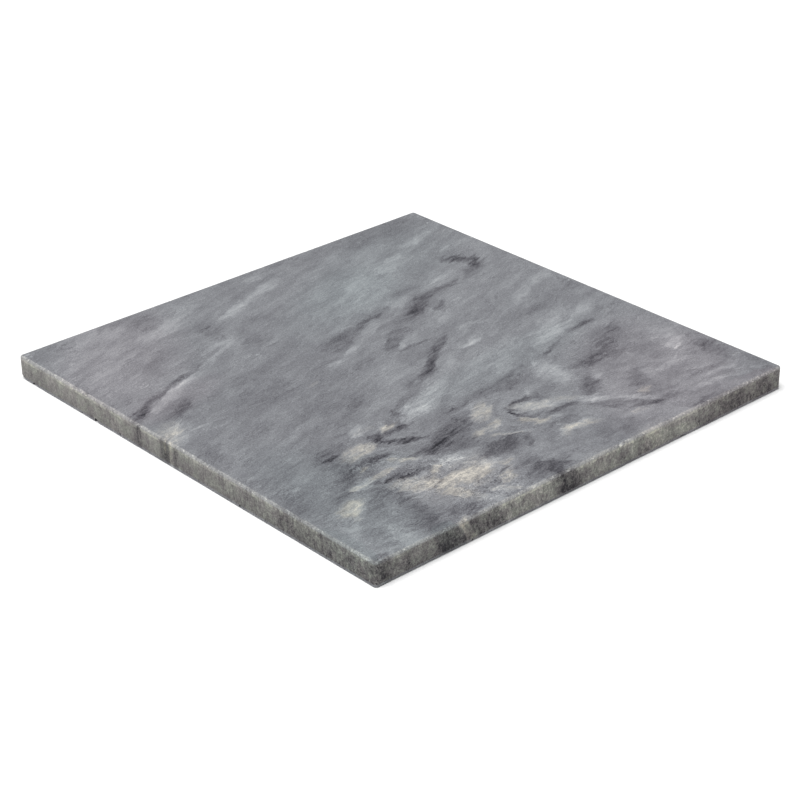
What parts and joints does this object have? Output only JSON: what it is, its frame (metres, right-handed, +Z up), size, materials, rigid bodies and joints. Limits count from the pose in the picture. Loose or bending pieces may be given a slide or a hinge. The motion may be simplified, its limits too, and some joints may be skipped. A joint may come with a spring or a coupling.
{
  "type": "granite slab",
  "caption": "Square slab of grey veined stone with honed faces and eased rims; a hard, heavy base for tooling, punching and skiving leather.",
  "frame": {"origin": "centre of the underside, on the surface that the slab rests on", "axes": "+Z up out of the working face; X and Y along the square's sides, with the two sides seen in the picture facing -Y (left) and +X (right)"},
  "size_m": [0.3048, 0.3048, 0.0143],
  "materials": {
    "honed_stone": "honed, matt grey stone with folded light and dark bands, cream calcite patches and fine white veins; ground sides slightly darker"
  },
  "bodies": {
    "root": {"slab": "honed_stone"}
  },
  "joints": []
}
